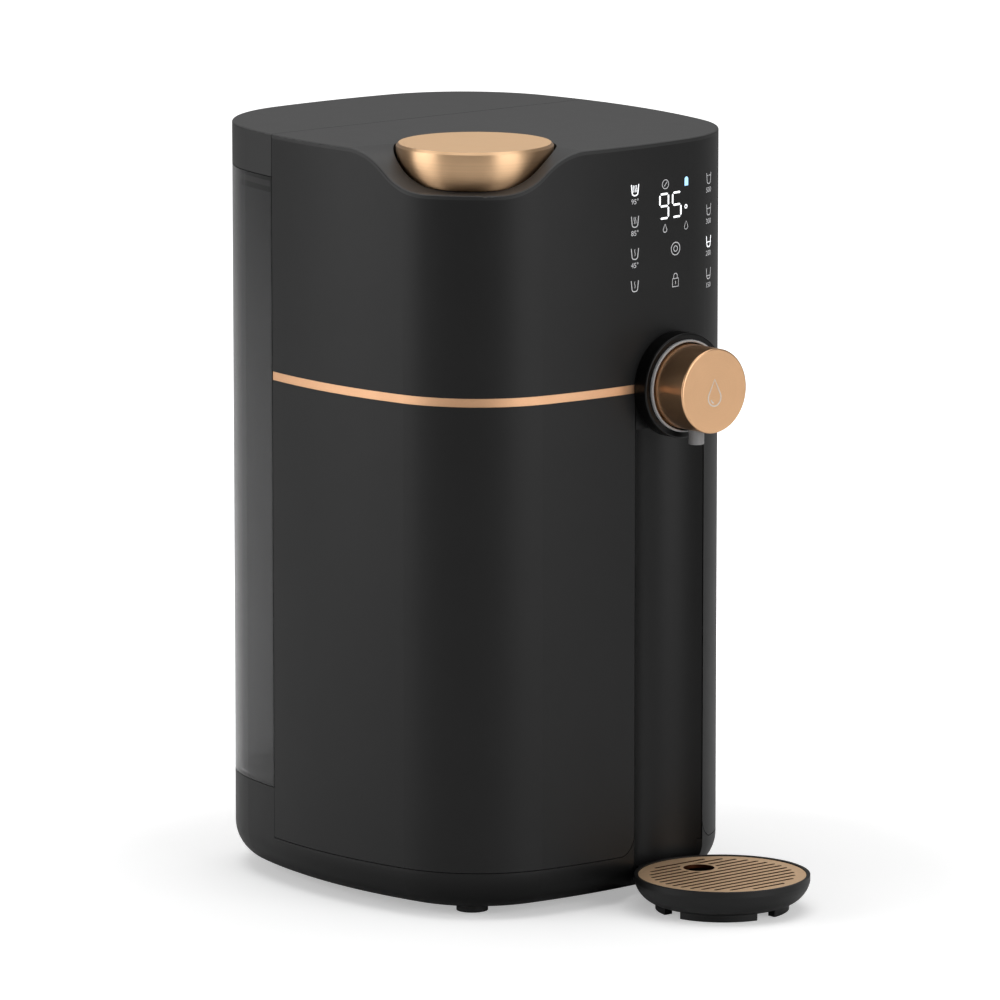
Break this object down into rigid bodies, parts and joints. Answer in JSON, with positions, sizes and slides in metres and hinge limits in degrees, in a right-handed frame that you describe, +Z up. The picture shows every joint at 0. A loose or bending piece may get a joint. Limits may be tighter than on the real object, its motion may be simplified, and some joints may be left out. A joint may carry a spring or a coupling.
{
  "type": "instant hot water dispenser",
  "caption": "Countertop instant hot water dispenser with a rear tank, a twist-out filter under a metal cap, a press knob over a nozzle and a round drip tray.",
  "frame": {"origin": "on the surface it stands on, under the middle of the box around body and tray", "axes": "+Z up, +X to the right of someone facing the front, -Y to the front"},
  "size_m": [0.22, 0.326, 0.402],
  "materials": {
    "shell_black": "fine satin",
    "top_black": "fine satin",
    "base_black": "satin",
    "collar_black": "smooth",
    "tray_black": "satin",
    "rose_gold": "anodised, finely brushed",
    "ring_silver": "pale satin",
    "tank_smoke": "tinted clear",
    "inner_black": "plain",
    "spout_grey": "soft",
    "foot_rubber": "soft",
    "seal_silicone": "soft",
    "hose_silicone": "translucent",
    "filter_white": "smooth",
    "works_white": "smooth",
    "board_green": "laminate",
    "spring_steel": "bright",
    "bare_steel": "satin"
  },
  "bodies": {
    "housing": {"base_pan": "base_black", "feet": "foot_rubber", "left_cover": "shell_black", "right_cover": "shell_black", "left_trim": "rose_gold", "right_trim": "rose_gold", "upper_shell": "shell_black", "top_cover": "top_black", "niche_panel": "shell_black", "tray_locator": "base_black", "rear_bulkhead": "inner_black", "knob_housing": "collar_black", "light_ring": "ring_silver", "knob_bush": "works_white", "dispense_switch": "inner_black", "spout_arm": "inner_black", "nozzle": "spout_grey", "filter_well": "inner_black", "filter_manifold": "works_white", "display_module": "inner_black", "control_board": "board_green", "inner_frame": "works_white", "power_board": "board_green", "pump_motor": "bare_steel", "pump_head": "inner_black", "pump_mounts": "foot_rubber", "heater": "bare_steel", "heater_straps": "bare_steel", "thermal_cutout": "inner_black", "flow_meter": "works_white", "inlet_valve": "works_white", "dock_hose": "hose_silicone", "pump_hose": "hose_silicone", "filter_hose": "hose_silicone", "meter_hose": "hose_silicone", "heater_hose": "hose_silicone", "spout_hose": "hose_silicone", "tank_dock": "inner_black", "dock_seal": "seal_silicone", "mains_inlet": "inner_black", "inlet_lead": "inner_black", "base_screws": "bare_steel", "board_screws": "bare_steel", "knob_spring": "spring_steel", "catch_spring": "spring_steel"},
    "knob": {"knob": "rose_gold", "knob_clip": "spring_steel"},
    "cap_catch": {"cap_catch": "top_black"},
    "filter_cartridge": {"filter_cartridge": "filter_white", "cartridge_seals": "seal_silicone"},
    "filter_cap": {"filter_cap": "rose_gold"},
    "tank": {"tank": "tank_smoke", "tank_outlet": "inner_black", "valve_spring": "spring_steel"},
    "tank_lid": {"tank_lid": "top_black", "lid_seal": "seal_silicone"},
    "tank_valve": {"tank_valve": "works_white"},
    "drip_tray": {"drip_tray": "tray_black", "tray_feet": "tray_black"},
    "tray_grille": {"tray_grille": "rose_gold"}
  },
  "joints": [
    {"name": "knob_press", "type": "slide", "parent": "housing", "child": "knob", "axis": [0, 1, 0], "range_m": [0, 0.0025], "stiffness_N_per_m": 900, "springref_m": -0.001, "deforming": ["knob_spring"]},
    {"name": "catch_press", "type": "slide", "parent": "housing", "child": "cap_catch", "axis": [0, 0, -1], "range_m": [0, 0.002], "stiffness_N_per_m": 500, "springref_m": -0.001, "deforming": ["catch_spring"]},
    {"name": "filter_lift", "type": "slide", "parent": "housing", "child": "filter_cartridge", "axis": [0, 0, 1], "range_m": [0, 0.32]},
    {"name": "filter_twist", "type": "hinge", "parent": "filter_cartridge", "child": "filter_cap", "pos_m": [-0.0555, -0.02595, 0], "axis": [0, 0, 1], "range_deg": [0, 60]},
    {"name": "tank_lift", "type": "slide", "parent": "housing", "child": "tank", "axis": [0, 0, 1], "range_m": [0, 0.06]},
    {"name": "lid_lift", "type": "slide", "parent": "tank", "child": "tank_lid", "axis": [0, 0, 1], "range_m": [0, 0.04]},
    {"name": "valve_lift", "type": "slide", "parent": "tank", "child": "tank_valve", "axis": [0, 0, 1], "range_m": [0, 0.003], "stiffness_N_per_m": 200, "springref_m": -0.001, "deforming": ["valve_spring"]},
    {"name": "tray_pull", "type": "slide", "parent": "housing", "child": "drip_tray", "axis": [0, -1, 0], "range_m": [0, 0.06]},
    {"name": "grille_lift", "type": "slide", "parent": "drip_tray", "child": "tray_grille", "axis": [0, 0, 1], "range_m": [0, 0.02]}
  ]
}
